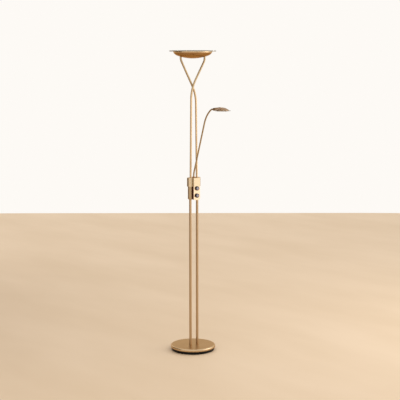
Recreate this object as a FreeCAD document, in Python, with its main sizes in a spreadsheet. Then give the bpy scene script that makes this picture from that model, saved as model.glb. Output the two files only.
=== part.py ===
"""Torchiere floor lamp with a glass-topped dish, twin poles and a swivelling reading arm.

The origin is on the floor under the centre of the base. Z is up, X runs from the left
pole to the right pole, and the front, where the two dimmer knobs are, faces -Y.
"""

import FreeCAD, Part
import math
import os
import re

import Sketcher

doc = FreeCAD.newDocument("TorchiereLamp")
sheet = doc.addObject("Spreadsheet::Sheet", "Sizes")
V = FreeCAD.Vector

# Every size that can be set by itself, in millimetres and degrees
DRIVING = (
    # Base
    ("PadThickness", 2), ("PadInset", 6),
    ("TrayInset", 5.5), ("TrayWall", 2), ("TrayRound", 1.5), ("TrayFloorThickness", 2),
    ("BaseTop", 33), ("CoverRadius", 135), ("CoverEdge", 8), ("CoverWall", 1.2),
    ("CoverSide", 2.4), ("CoverLip", 7.5), ("WeightMargin", 1.5), ("WeightThickness", 12),
    ("StandoffInset", 33.5), ("StandoffRadius", 7),
    ("BaseScrewRadius", 2), ("BaseScrewHead", 4), ("BaseScrewHeadHeight", 2.6),
    ("BaseScrewRecess", 6), ("BaseScrewBite", 8.2),
    ("GlandRadius", 4.2), ("GlandBore", 3), ("GlandFlange", 5.9), ("GlandFlangeThickness", 3),
    ("GlandNose", 8), ("GlandInside", 10), ("GlandHeight", 8.5), ("CordRoom", 3),
    # Poles and their threaded ends
    ("PoleSpacing", 51), ("PoleForward", 9), ("PoleRadius", 7.6), ("PoleWall", 0.8),
    ("PoleTop", 1022), ("NippleRadius", 5), ("NippleBore", 3.5), ("NutAcross", 15),
    ("NutThickness", 4), ("NippleTail", 0.8), ("NippleReach", 20), ("BushLength", 15),
    # Clearances
    ("SeatGap", 0.05), ("ThreadGap", 0.1), ("HoleGap", 0.2), ("RunningGap", 0.05),
    ("MovingGap", 0.3),
    # Switch housing
    ("SleeveRadius", 15), ("SleeveWall", 1.2), ("SleeveDrop", 101), ("SleeveRound", 8),
    ("SleeveOverlap", 6), ("BandRadius", 19.8), ("BandWall", 1.6), ("BandDrop", 22),
    ("BandRise", 30), ("BandRoof", 2.5), ("BandFrontHalf", 24.5), ("BandFrontReach", 31.5),
    ("BandCorner", 3), ("BandTopRound", 1.2), ("BlockRise", 2), ("BlockWeb", 2),
    ("ClampRadius", 2.5), ("ClampLength", 5), ("LowerClampDrop", 10), ("UpperClampRise", 12),
    ("SleeveScrewRadius", 1.5), ("SleeveScrewHead", 2.75), ("SleeveScrewHeadHeight", 1.8),
    ("SleeveScrewLength", 7), ("SleeveScrewSpread", 20),
    ("CaseHalf", 22.5), ("CaseWall", 1.6), ("CaseBottomRise", 2), ("CaseDepth", 14.4),
    ("CaseIntoBand", 18), ("PlateHalf", 23.6), ("PlateThickness", 1.5), ("PlateDrop", 1.5),
    ("PlateCorner", 9), ("KnobDrop", 33), ("KnobPitch", 43),
    ("BoardThickness", 1.6), ("DimmerHalf", 10), ("DimmerDepth", 9), ("BushingRadius", 4.5),
    ("BushingReach", 2.1), ("DimmerNutAcross", 12), ("DimmerNutThickness", 1.8),
    ("ShaftRadius", 3), ("KnobRadius", 12.8), ("KnobDepth", 6.5), ("KnobStandOff", 0.9),
    ("KnobRound", 1.8), ("KnobFront", 1.8), ("KnobCapRadius", 8), ("KnobCapInset", 1.2),
    ("KnobCapRise", 1.5), ("KnobRecess", 1.8), ("KnobRecessRadius", 8.4), ("MarkWidth", 1),
    ("MarkDepth", 0.5),
    ("WireDrop", 58.5), ("WireSpread", 24), ("WireHole", 3.5), ("CableRadius", 2.7),
    ("CableBend", 8),
    # Upper tubes: each starts upright, leans, crosses the other and ends upright again
    ("UpperSpacing", 46), ("UpperRadius", 6), ("UpperWall", 0.9), ("LeanRadius", 1500),
    ("LeftLean", 0.495), ("LeftBendDrop", 240.5), ("LeftSplay", 28.12),
    ("RightLean", 0.63), ("RightBendDrop", 261.8), ("RightSplay", 24.98),
    ("CrossingRadius", 254), ("EndBendRadius", 50),
    # Dish
    ("DishMountRadius", 73.6), ("DishMountAngle", -20.1), ("BowlBottom", 1754),
    ("BowlCrown", 263), ("BowlBreak", 91.2), ("BowlShoulder", 45.1), ("BowlRadius", 114.7),
    ("BowlHeight", 40), ("BowlWall", 1.2), ("BowlFlange", 4.5), ("GasketThickness", 1),
    ("GlassRadius", 138), ("GlassThickness", 5), ("GlassEdge", 1), ("PlateRise", 17.5),
    ("NippleLift", 4),
    ("MountLength", 165), ("MountWidth", 30), ("MountThickness", 2), ("SpacerRadius", 8),
    ("DriverLength", 80), ("DriverWidth", 34), ("DriverHeight", 11.5),
    ("PillarAlong", 55), ("PillarAcross", 9), ("PillarRadius", 3), ("PillarHeight", 13.5),
    ("CoolerRadius", 106), ("CoolerThickness", 2), ("LampBoardRadius", 98),
    ("OuterRing", 80), ("InnerRing", 45), ("ChipSide", 5), ("ChipHeight", 0.8),
    ("SmallScrew", 1.5), ("SmallHead", 2.75), ("SmallHeadHeight", 1.8), ("SmallLength", 10),
    # Reading arm
    ("SocketRadius", 6.5), ("SocketFlange", 10), ("SocketFlangeThickness", 3),
    ("SocketTail", 8), ("SocketNutAcross", 17), ("SocketNutThickness", 5),
    ("ArmRadius", 4.5), ("ArmWall", 1), ("ArmTail", 4), ("RingRadius", 6.2),
    ("RingThickness", 1.2), ("RingGroove", 0.5), ("CollarRadius", 6.5), ("CollarHeight", 5),
    ("ArmLean", 18.68), ("ArmLeanRadius", 85), ("ArmStraight", 306.6), ("ArmSweepRadius", 157.8),
    ("ArmSweepEnd", 54.2), ("ArmHookRadius", 38), ("ArmTip", 4.5), ("PivotForward", 8.5),
    # Reading head
    ("DrumRadius", 7.7), ("EyeHalf", 3), ("CheekThickness", 3.2), ("PinRadius", 2),
    ("PinHead", 3.6), ("PinHeadThickness", 1.5), ("SpigotLength", 4), ("SpigotRadius", 3.4),
    ("HeadReach", 75), ("HeadRadius", 36), ("HeadLip", 3), ("HeadHeight", 16.6),
    ("HeadWall", 1), ("HeadSkirt", 150), ("HeadCrown", 48), ("HeadBreak", 22),
    ("HeadBelowPin", 4), ("HeadGlassRadius", 46), ("HeadGlassThickness", 3),
    ("HeadGlassGap", 0.2), ("BezelOuter", 32), ("BezelInner", 26.2), ("BezelThickness", 1.6),
    ("BezelScrewCircle", 29), ("HeadBoardRadius", 26.2), ("HeadBoardThickness", 1.2),
    ("HeadBoardRise", 0.8), ("HeadCoolerRadius", 32.4), ("HeadCoolerThickness", 1.6),
    ("HeadChipRing", 15), ("HeadChipSide", 4), ("HeadChipHeight", 0.6),
    ("NeckScrewBack", 22), ("NeckScrewSpread", 7), ("NeckScrewLength", 13),
    ("NeckReach", 72), ("NeckCrest", 60), ("NeckCrestRise", 14), ("BezelScrewLength", 8.8),
)

# Sizes that follow from the driving ones
DERIVED = (
    ("CoverBottom", "BaseTop - 2 * CoverEdge - CoverSide"),
    ("CoverFlat", "CoverRadius - CoverEdge"),
    ("TrayRadius", "CoverRadius - TrayInset"),
    ("PadRadius", "TrayRadius - PadInset"),
    ("StandoffCircle", "CoverRadius - StandoffInset"),
    ("TrayFloor", "PadThickness + TrayFloorThickness"),
    ("WeightTop", "BaseTop - CoverWall"),
    ("WeightBottom", "WeightTop - WeightThickness"),
    ("WeightRadius", "CoverFlat - WeightMargin"),
    ("PoleX", "PoleSpacing / 2"),
    ("PoleY", "-PoleForward"),
    ("PoleBore", "PoleRadius - PoleWall"),
    ("NippleFoot", "WeightBottom - NutThickness - NippleTail"),
    ("BandBottom", "PoleTop - BandDrop"),
    ("BandTop", "PoleTop + BandRise"),
    ("SleeveBottom", "PoleTop - SleeveDrop"),
    ("UpperKnobHeight", "PoleTop - KnobDrop"),
    ("WireHeight", "PoleTop - WireDrop"),
    ("SleeveTop", "BandBottom + BlockRise + SleeveOverlap"),
    ("BlockBottom", "BandBottom + BlockRise"),
    ("BlockTop", "BandTop - BandRoof"),
    ("BlockRadius", "SleeveRadius - SleeveWall - HoleGap"),
    ("UpperX", "UpperSpacing / 2"),
    ("UpperFoot", "PoleTop + BlockWeb"),
    ("UpperBore", "UpperRadius - UpperWall"),
    ("LeanStart", "BandTop + 2"),
    ("LeftBendStart", "BowlBottom - LeftBendDrop"),
    ("RightBendStart", "BowlBottom - RightBendDrop"),
    ("CaseBack", "SleeveRadius + 2 * SeatGap"),
    ("PlateBack", "CaseBack + CaseDepth"),
    ("PlateFront", "PlateBack + PlateThickness"),
    ("BoardBack", "CaseBack + CaseWall + HoleGap"),
    ("DimmerBack", "BoardBack + BoardThickness"),
    ("DimmerFront", "DimmerBack + DimmerDepth"),
    ("KnobBack", "PlateFront + KnobStandOff"),
    ("ShaftEnd", "KnobBack + KnobDepth - KnobFront"),
    ("LowerKnobHeight", "UpperKnobHeight - KnobPitch"),
    ("DishX", "DishMountRadius * cos(DishMountAngle)"),
    ("DishY", "DishMountRadius * sin(DishMountAngle)"),
    ("BowlRim", "BowlBottom + BowlHeight"),
    ("BreakRise", "BowlCrown - sqrt(BowlCrown ^ 2 - BowlBreak ^ 2)"),
    ("BreakCosine", "sqrt(1 - (BowlBreak / BowlCrown) ^ 2)"),
    ("ShoulderAcross", "BowlBreak - BowlShoulder * BowlBreak / BowlCrown"),
    ("ShoulderUp", "BreakRise + BowlShoulder * BreakCosine"),
    ("BowlInside", "BowlRadius - BowlWall"),
    ("LipRise", "ShoulderUp - sqrt(BowlShoulder ^ 2 - (BowlRadius - ShoulderAcross) ^ 2)"),
    ("LipRiseInside", "ShoulderUp - sqrt((BowlShoulder - BowlWall) ^ 2"
                      " - (BowlInside - ShoulderAcross) ^ 2)"),
    ("MountBottom", "BowlBottom + PlateRise"),
    ("MountTop", "MountBottom + MountThickness"),
    ("CoolerBottom", "MountTop + PillarHeight"),
    ("LampBoardBottom", "CoolerBottom + CoolerThickness"),
    ("LampBoardTop", "LampBoardBottom + BoardThickness"),
    ("GlassBottom", "BowlRim + GasketThickness"),
    ("DishNippleTop", "MountTop + NutThickness + 2 * NippleTail"),
    ("SocketBottom", "BlockBottom - SocketTail"),
    ("SocketTop", "BandTop + SocketFlangeThickness"),
    ("RingTop", "SocketBottom - MovingGap"),
    ("ArmFoot", "RingTop - RingThickness - ArmTail"),
    ("CollarTop", "SocketTop + MovingGap + CollarHeight"),
    ("ArmBore", "ArmRadius - ArmWall"),
    ("ArmForward", "ArmLeanRadius * (1 - cos(ArmLean)) + ArmStraight * sin(ArmLean)"
                   " + ArmSweepRadius * (cos(ArmLean) - cos(ArmSweepEnd))"
                   " + ArmHookRadius * cos(ArmSweepEnd) + ArmTip"),
    ("PivotHeight", "CollarTop + ArmLeanRadius * sin(ArmLean) + ArmStraight * cos(ArmLean)"
                    " + ArmSweepRadius * (sin(ArmSweepEnd) - sin(ArmLean))"
                    " + ArmHookRadius * (1 - sin(ArmSweepEnd))"),
    ("PivotY", "PoleY - ArmForward - PivotForward"),
    ("HeadY", "PivotY - HeadReach"),
    ("HeadRim", "PivotHeight - HeadBelowPin"),
    ("HeadTop", "HeadRim + HeadHeight"),
    ("CrownCosine", "sqrt(HeadCrown ^ 2 - HeadBreak ^ 2)"),
    ("CrownShare", "(HeadCrown - HeadWall) / HeadCrown"),
    ("DrumHalf", "EyeHalf + MovingGap + CheekThickness"),
    ("HeadGlassTop", "HeadRim - HeadGlassGap"),
    ("HeadGlassBottom", "HeadGlassTop - HeadGlassThickness"),
    ("HeadBoardBottom", "HeadRim + HeadBoardRise"),
    ("HeadCoolerBottom", "HeadBoardBottom + HeadBoardThickness"),
)

for row, (alias, amount_text) in enumerate(DRIVING + DERIVED, start=1):
    sheet.set("A%d" % row, alias)
    sheet.set("B%d" % row, str(amount_text) if row <= len(DRIVING) else "=" + amount_text)
    sheet.setAlias("B%d" % row, alias)
ALIASES = {alias for alias, amount_text in DRIVING + DERIVED}
doc.recompute()

nodes = []


# Sizes and places

def bound(text):
    """An expression in sheet names, as the document wants it."""
    def full_name(match):
        word = match.group(0)
        return "Sizes." + word if word in ALIASES else word
    return re.sub(r"[A-Za-z]+", full_name, text)


def amount(text):
    """The number that an expression in sheet names gives."""
    return float(sheet.evalExpression(bound(text)))


def keep(item, label):
    """Name a finished sub-part, and list it for writing."""
    item.Label = label
    nodes.append(item)
    return item


def seat(item, across="0", back="0", up="0"):
    """Bind the place of an item to the sheet."""
    for axis, text in zip("xyz", (across, back, up)):
        if text != "0":
            item.setExpression("Placement.Base." + axis, bound(text))
    return item


TURNS = {
    "up": FreeCAD.Rotation(),
    "front": FreeCAD.Rotation(V(1, 0, 0), 90),
    "back": FreeCAD.Rotation(V(1, 0, 0), -90),
    "right": FreeCAD.Rotation(V(0, 1, 0), 90),
}


def turn(item, way):
    item.Placement = FreeCAD.Placement(V(0, 0, 0), TURNS[way])
    return item


# Plain solids and booleans

def sized(kind, name, sizes):
    item = doc.addObject(kind, name)
    for size_name, text in sizes.items():
        item.setExpression(size_name, bound(text))
    return item


def rod(name, radius, length, across="0", back="0", up="0", way="up"):
    item = sized("Part::Cylinder", name, {"Radius": radius, "Height": length})
    return seat(turn(item, way), across, back, up)


def block(name, length, width, height, across="0", back="0", up="0"):
    item = sized("Part::Box", name, {"Length": length, "Width": width, "Height": height})
    return seat(item, across, back, up)


def cut(name, base, *tools):
    item = doc.addObject("Part::Cut", name)
    item.Base = base
    item.Tool = tools[0] if len(tools) == 1 else fuse(name + "_tools", *tools)
    return item


def fuse(name, *items):
    item = doc.addObject("Part::MultiFuse", name)
    item.Shapes = list(items)
    item.Refine = True
    return item


def group(name, items):
    item = doc.addObject("Part::Compound", name)
    item.Links = list(items)
    return item


def ring(name, outer, inner, length, across="0", back="0", up="0", way="up"):
    """A plain tube or washer."""
    outside = rod(name + "_outside", outer, length, across, back, up, way)
    inside = rod(name + "_inside", inner, length, across, back, up, way)
    return cut(name, outside, inside)


def hex_nut(name, across_flats, bore, thickness, across="0", back="0", up="0", way="up"):
    body = sized("Part::Prism", name + "_hexagon",
                 {"Circumradius": "(%s) / sqrt(3)" % across_flats, "Height": thickness})
    body.Polygon = 6
    seat(turn(body, way), across, back, up)
    return cut(name, body, rod(name + "_thread", bore, thickness, across, back, up, way))


def screw(name, radius, length, head, head_height, across, back, up, way="up"):
    """A pan-head screw whose shank starts at the given point and runs the given way."""
    sign = {"up": ("0", "-"), "front": ("+", "0"), "back": ("-", "0")}[way]
    head_back = back if sign[0] == "0" else "%s %s %s" % (back, sign[0], head_height)
    head_up = up if sign[1] == "0" else "%s - %s" % (up, head_height)
    shank = rod(name + "_shank", radius, length, across, back, up, way)
    return fuse(name, shank, rod(name + "_head", head, head_height, across, head_back, head_up, way))


# Sketched solids

def origin_plane(body, role):
    return next(item for item in body.Origin.OriginFeatures if item.Role == role)


def new_body(name):
    return doc.addObject("PartDesign::Body", name)


def new_sketch(body, name, role):
    sketch = body.newObject("Sketcher::SketchObject", name)
    sketch.AttachmentSupport = (origin_plane(body, role), [""])
    sketch.MapMode = "FlatFace"
    return sketch


def limit(sketch, text, kind, *places):
    """Add a constraint whose value is bound to the sheet."""
    number = amount(text)
    if kind == "Angle":
        number = math.radians(number)
        text = "(%s) * 1 deg" % text
    index = sketch.addConstraint(Sketcher.Constraint(kind, *places, number))
    sketch.setExpression("Constraints[%d]" % index, bound(text))


def pin_point(sketch, edge, end, across, up):
    """Bind one end of an edge to its two coordinates."""
    for text, kind, axis in ((across, "DistanceX", -2), (up, "DistanceY", -1)):
        if text == "0":
            sketch.addConstraint(Sketcher.Constraint("PointOnObject", edge, end, axis))
        else:
            limit(sketch, text, kind, -1, 1, edge, end)


def outline(body, name, role, corners):
    """A closed sketch of straight and round edges.

    A corner is (across, up) where a straight edge starts, or (across, up, radius, side)
    where an arc starts: side is 1 where it bulges to the right of its run, or -1.
    """
    sketch = new_sketch(body, name, role)
    points = [V(amount(corner[0]), amount(corner[1]), 0) for corner in corners]
    ends = []
    for number, corner in enumerate(corners):
        start, stop = points[number], points[(number + 1) % len(points)]
        if len(corner) == 2:
            sketch.addGeometry(Part.LineSegment(start, stop), False)
            ends.append((1, 2))
            continue
        radius, side = amount(corner[2]), corner[3]
        chord = stop - start
        height = math.sqrt(max(radius ** 2 - chord.Length ** 2 / 4, 0))
        normal = V(-chord.y, chord.x, 0).normalize()
        centre = (start + stop) / 2 + normal * height * side
        first, last = (start, stop) if side > 0 else (stop, start)
        angles = [math.atan2(point.y - centre.y, point.x - centre.x) for point in (first, last)]
        circle = Part.Circle(centre, V(0, 0, 1), radius)
        sketch.addGeometry(Part.ArcOfCircle(circle, *angles), False)
        ends.append((1, 2) if side > 0 else (2, 1))
    for number, corner in enumerate(corners):
        pin_point(sketch, number, ends[number][0], corner[0], corner[1])
        following = (number + 1) % len(corners)
        sketch.addConstraint(Sketcher.Constraint(
            "Coincident", number, ends[number][1], following, ends[following][0]))
        if len(corner) == 4:
            limit(sketch, corner[2], "Radius", number)
    return sketch


def turned(name, corners):
    """A solid turned about Z from an outline of (radius, height) corners."""
    body = new_body(name)
    sketch = outline(body, name + "_outline", "XZ_Plane", corners)
    feature = body.newObject("PartDesign::Revolution", name + "_turning")
    feature.Profile = sketch
    feature.ReferenceAxis = (sketch, ["V_Axis"])
    feature.Angle = 360
    return body


def padded(name, role, corners, height, up="0"):
    """A solid raised from an outline, lying at the given height of its own plane."""
    body = new_body(name)
    sketch = outline(body, name + "_outline", role, corners)
    if up != "0":
        sketch.setExpression("AttachmentOffset.Base.z", bound(up))
    feature = body.newObject("PartDesign::Pad", name + "_pad")
    feature.Profile = sketch
    feature.setExpression("Length", bound(height))
    return body


def round_edges(body, radius, chosen):
    """Fillet the edges of a body's last feature that the test picks."""
    doc.recompute()
    base = body.Tip
    names = ["Edge%d" % (number + 1) for number, edge in enumerate(base.Shape.Edges) if chosen(edge)]
    feature = body.newObject("PartDesign::Fillet", body.Name + "_fillet")
    feature.Base = (base, names)
    feature.setExpression("Radius", bound(radius))
    return body


def stadium_corners(radius):
    """Outline of two pole-centred half circles joined by straight sides."""
    return (
        ("-PoleX", "PoleY - %s" % radius),
        ("PoleX", "PoleY - %s" % radius, radius, 1),
        ("PoleX + %s" % radius, "PoleY", radius, 1),
        ("PoleX", "PoleY + %s" % radius),
        ("-PoleX", "PoleY + %s" % radius, radius, 1),
        ("-PoleX - %s" % radius, "PoleY", radius, 1),
    )


def stadium(name, radius, bottom, top):
    return padded(name, "XY_Plane", stadium_corners(radius), "(%s) - (%s)" % (top, bottom), bottom)


def level_edge(height):
    """Test for an edge that lies wholly at one height."""
    def chosen(edge):
        return abs(edge.BoundBox.ZMin - height) < 0.01 and abs(edge.BoundBox.ZMax - height) < 0.01
    return chosen


def bent_tube(name, foot, runs, outer, inner, angle):
    """A tube along a flat path of runs and tangent bends that starts straight up.

    A run is (length,), and a bend is (radius, degrees, side): side is 1 towards the
    body's own +X and -1 back. The angle turns the path's plane about Z.
    """
    body = new_body(name)
    path = new_sketch(body, name + "_path", "XZ_Plane")
    point, heading, ends = V(0, amount(foot), 0), 0.0, []
    for number, run in enumerate(runs):
        if len(run) == 1:
            stop = point + V(math.sin(heading), math.cos(heading), 0) * amount(run[0])
            path.addGeometry(Part.LineSegment(point, stop), False)
            ends.append((1, 2))
            limit(path, run[0], "Distance", number)
        else:
            radius, side = amount(run[0]), run[2]
            centre = point + V(math.cos(heading), -math.sin(heading), 0) * side * radius
            heading += side * math.radians(amount(run[1]))
            stop = centre - V(math.cos(heading), -math.sin(heading), 0) * side * radius
            first, last = (stop, point) if side > 0 else (point, stop)
            angles = [math.atan2(spot.y - centre.y, spot.x - centre.x) for spot in (first, last)]
            circle = Part.Circle(centre, V(0, 0, 1), radius)
            path.addGeometry(Part.ArcOfCircle(circle, *angles), False)
            ends.append((2, 1) if side > 0 else (1, 2))
            limit(path, run[0], "Radius", number)
            limit(path, run[1], "Angle", number)
        if number == 0:
            path.addConstraint(Sketcher.Constraint("Vertical", 0))
            pin_point(path, 0, 1, "0", foot)
        else:
            path.addConstraint(Sketcher.Constraint(
                "Tangent", number - 1, ends[number - 1][1], number, ends[number][0]))
        point = stop
    section = new_sketch(body, name + "_section", "XY_Plane")
    section.setExpression("AttachmentOffset.Base.z", bound(foot))
    for number, radius in enumerate((outer, inner)):
        section.addGeometry(Part.Circle(V(0, 0, 0), V(0, 0, 1), amount(radius)), False)
        section.addConstraint(Sketcher.Constraint("Coincident", number, 3, -1, 1))
        limit(section, radius, "Radius", number)
    feature = body.newObject("PartDesign::AdditivePipe", name + "_sweep")
    feature.Profile = section
    feature.Spine = (path, [])
    body.Placement = FreeCAD.Placement(V(0, 0, 0), FreeCAD.Rotation(V(0, 0, 1), angle))
    return body, path


def around(count, radius, start=0.0):
    """Expressions for the places of a ring of equal pieces."""
    for number in range(count):
        angle = start + 360.0 * number / count
        yield ("%s * cos(%g)" % (radius, angle), "%s * sin(%g)" % (radius, angle))


def lengthwise(along, sideways):
    """Expressions for a place that is given along and across the dish's mounting bar."""
    return ("(%s) * cos(DishMountAngle) - (%s) * sin(DishMountAngle)" % (along, sideways),
            "(%s) * sin(DishMountAngle) + (%s) * cos(DishMountAngle)" % (along, sideways))


def bar(name, length, width, height, up):
    """A block centred over the origin and lined up with the dish's mounts."""
    across, back = lengthwise("-(%s) / 2" % length, "-(%s) / 2" % width)
    item = sized("Part::Box", name, {"Length": length, "Width": width, "Height": height})
    item.Placement = FreeCAD.Placement(
        V(0, 0, 0), FreeCAD.Rotation(V(0, 0, 1), amount("DishMountAngle")))
    return seat(item, across, back, up)


POLE_SIDES = (("left", "-"), ("right", ""))


# Base

def pole_holes(name, radius, bottom, height):
    return [rod("%s_hole_%s" % (name, side), radius, height, sign + "PoleX", "PoleY", bottom)
            for side, sign in POLE_SIDES]


def make_base():
    keep(rod("pad", "PadRadius", "PadThickness"), "floor_pad")

    tray = turned("tray_cup", (
        ("0", "PadThickness"),
        ("TrayRadius - TrayRound", "PadThickness", "TrayRound", 1),
        ("TrayRadius", "PadThickness + TrayRound"),
        ("TrayRadius", "CoverBottom"),
        ("TrayRadius - TrayWall", "CoverBottom"),
        ("TrayRadius - TrayWall", "TrayFloor"),
        ("0", "TrayFloor"),
    ))
    corners = list(around(4, "StandoffCircle", 45))
    standoffs = [rod("standoff", "StandoffRadius", "WeightBottom - PadThickness", x, y, "PadThickness")
                 for x, y in corners]
    recesses = [rod("screw_recess", "BaseScrewHead + HoleGap", "BaseScrewRecess", x, y, "PadThickness")
                for x, y in corners]
    clear_holes = [rod("screw_clearance", "BaseScrewRadius + HoleGap", "WeightBottom", x, y)
                   for x, y in corners]
    gland_hole = rod("gland_hole", "GlandRadius + HoleGap", "3 * TrayWall", "0",
                     "TrayRadius - 2 * TrayWall", "GlandHeight", "back")
    keep(cut("tray", fuse("tray_with_standoffs", tray, *standoffs),
             *recesses, *clear_holes, gland_hole), "base_tray")

    weight = rod("weight_disc", "WeightRadius", "WeightThickness", "0", "0", "WeightBottom")
    tapped = [rod("tapped_hole", "BaseScrewRadius + ThreadGap", "BaseScrewBite + 1", x, y, "WeightBottom")
              for x, y in corners]
    keep(cut("weight", weight, *tapped,
             *pole_holes("weight", "NippleRadius + HoleGap", "WeightBottom", "WeightThickness")),
         "base_weight")

    cover = turned("cover_shell", (
        ("CoverFlat - CoverLip", "CoverBottom"),
        ("CoverFlat", "CoverBottom", "CoverEdge", 1),
        ("CoverRadius", "CoverBottom + CoverEdge"),
        ("CoverRadius", "BaseTop - CoverEdge", "CoverEdge", 1),
        ("CoverFlat", "BaseTop"),
        ("0", "BaseTop"),
        ("0", "WeightTop"),
        ("CoverFlat", "WeightTop", "CoverEdge - CoverWall", -1),
        ("CoverRadius - CoverWall", "BaseTop - CoverEdge"),
        ("CoverRadius - CoverWall", "CoverBottom + CoverEdge", "CoverEdge - CoverWall", -1),
        ("CoverFlat", "CoverBottom + CoverWall"),
        ("CoverFlat - CoverLip", "CoverBottom + CoverWall"),
    ))
    keep(cut("cover", cover, *pole_holes("cover", "NippleRadius + HoleGap", "WeightTop", "CoverWall")),
         "base_cover")

    shank = "WeightBottom + BaseScrewBite - PadThickness - BaseScrewRecess"
    keep(group("screws_under_base", [
        screw("base_screw", "BaseScrewRadius", shank, "BaseScrewHead", "BaseScrewHeadHeight",
              x, y, "PadThickness + BaseScrewRecess") for x, y in corners]), "base_screws")

    inside = rod("gland_stem", "GlandRadius", "GlandInside", "0", "TrayRadius - GlandInside",
                 "GlandHeight", "back")
    flange = rod("gland_flange", "GlandFlange", "GlandFlangeThickness", "0", "TrayRadius",
                 "GlandHeight", "back")
    nose = sized("Part::Cone", "gland_nose", {
        "Radius1": "GlandFlange - 1.5", "Radius2": "GlandRadius", "Height": "GlandNose"})
    seat(turn(nose, "back"), "0", "TrayRadius + GlandFlangeThickness", "GlandHeight")
    bore = rod("gland_bore", "GlandBore", "GlandInside + GlandFlangeThickness + GlandNose", "0",
               "TrayRadius - GlandInside", "GlandHeight", "back")
    keep(cut("gland", fuse("gland_body", inside, flange, nose), bore), "cable_gland")


# Poles

def make_poles():
    nipples, bushes = [], []
    for side, sign in POLE_SIDES:
        x = sign + "PoleX"
        nipples.append(ring("pole_nipple", "NippleRadius", "NippleBore",
                            "BaseTop + NippleReach - NippleFoot", x, "PoleY", "NippleFoot"))
        bushes.append(ring("pole_bush", "PoleBore - SeatGap", "NippleRadius + ThreadGap",
                           "BushLength", x, "PoleY", "BaseTop"))
        tube = ring("pole_tube_" + side, "PoleRadius", "PoleBore", "PoleTop - BaseTop",
                    x, "PoleY", "BaseTop")
        start = "-PoleX" if side == "left" else "PoleX - PoleRadius - 1"
        wire_hole = rod("pole_wire_hole", "WireHole", "PoleRadius + 1", start, "PoleY",
                        "WireHeight", "right")
        keep(cut("pole_" + side, tube, wire_hole), "lower_pole_" + side)
    keep(group("nipples_in_base", nipples), "pole_nipples")
    keep(group("bushes_in_poles", bushes), "pole_end_bushes")


def make_nipple_nuts():
    """The four equal nuts: two under the base weight and two inside the dish."""
    places = [(sign + "PoleX", "PoleY", "WeightBottom - NutThickness") for side, sign in POLE_SIDES]
    places += [("DishX", "DishY", "MountTop"), ("-DishX", "-DishY", "MountTop")]
    keep(group("nuts", [hex_nut("nipple_nut", "NutAcross", "NippleRadius + ThreadGap",
                                "NutThickness", *place) for place in places]), "nipple_nuts")


# Switch housing

def band_prism(name, radius, half, reach, bottom, top):
    """The band's outline: a stadium round the poles with a square block in front."""
    notch = "PoleY - sqrt((%s) ^ 2 - (%s - PoleX) ^ 2)" % (radius, half)
    return padded(name, "XY_Plane", (
        ("-(%s)" % half, "PoleY - (%s)" % reach),
        (half, "PoleY - (%s)" % reach),
        (half, notch, radius, 1),
        ("PoleX + %s" % radius, "PoleY", radius, 1),
        ("PoleX", "PoleY + %s" % radius),
        ("-PoleX", "PoleY + %s" % radius, radius, 1),
        ("-PoleX - (%s)" % radius, "PoleY", radius, 1),
        ("-(%s)" % half, notch),
    ), "(%s) - (%s)" % (top, bottom), bottom)


def wire_holes(name, start, length):
    """Holes from the poles' wires forward to the dimmer board."""
    return [rod(name, "WireHole", length, sign + "WireSpread / 2", "PoleY - (%s)" % start,
                "WireHeight", "front") for side, sign in POLE_SIDES]


def make_sleeve():
    outer = stadium("sleeve_outside", "SleeveRadius", "SleeveBottom", "SleeveTop")
    round_edges(outer, "SleeveRound", level_edge(amount("SleeveBottom")))
    inner = stadium("sleeve_inside", "(SleeveRadius - SleeveWall)", "SleeveBottom + SleeveWall",
                    "SleeveTop + 1")
    round_edges(inner, "SleeveRound - SleeveWall", level_edge(amount("SleeveBottom + SleeveWall")))
    screw_holes = [rod("sleeve_screw_hole", "SleeveScrewRadius + HoleGap", "3 * SleeveWall",
                       sign + "SleeveScrewSpread / 2", "PoleY + SleeveRadius - 2 * SleeveWall",
                       "SleeveTop - SleeveOverlap / 2", "back") for side, sign in POLE_SIDES]
    keep(cut("sleeve", outer, inner, *screw_holes,
             *pole_holes("sleeve", "PoleRadius + HoleGap", "SleeveBottom - 1", "SleeveRound"),
             *wire_holes("sleeve_wire_hole", "SleeveRadius - 2 * SleeveWall", "3 * SleeveWall")),
         "switch_sleeve")
    keep(group("screws_in_sleeve", [
        screw("sleeve_screw", "SleeveScrewRadius", "SleeveScrewLength", "SleeveScrewHead",
              "SleeveScrewHeadHeight", sign + "SleeveScrewSpread / 2", "PoleY + SleeveRadius",
              "SleeveTop - SleeveOverlap / 2", "front") for side, sign in POLE_SIDES]),
         "sleeve_screws")


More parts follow.
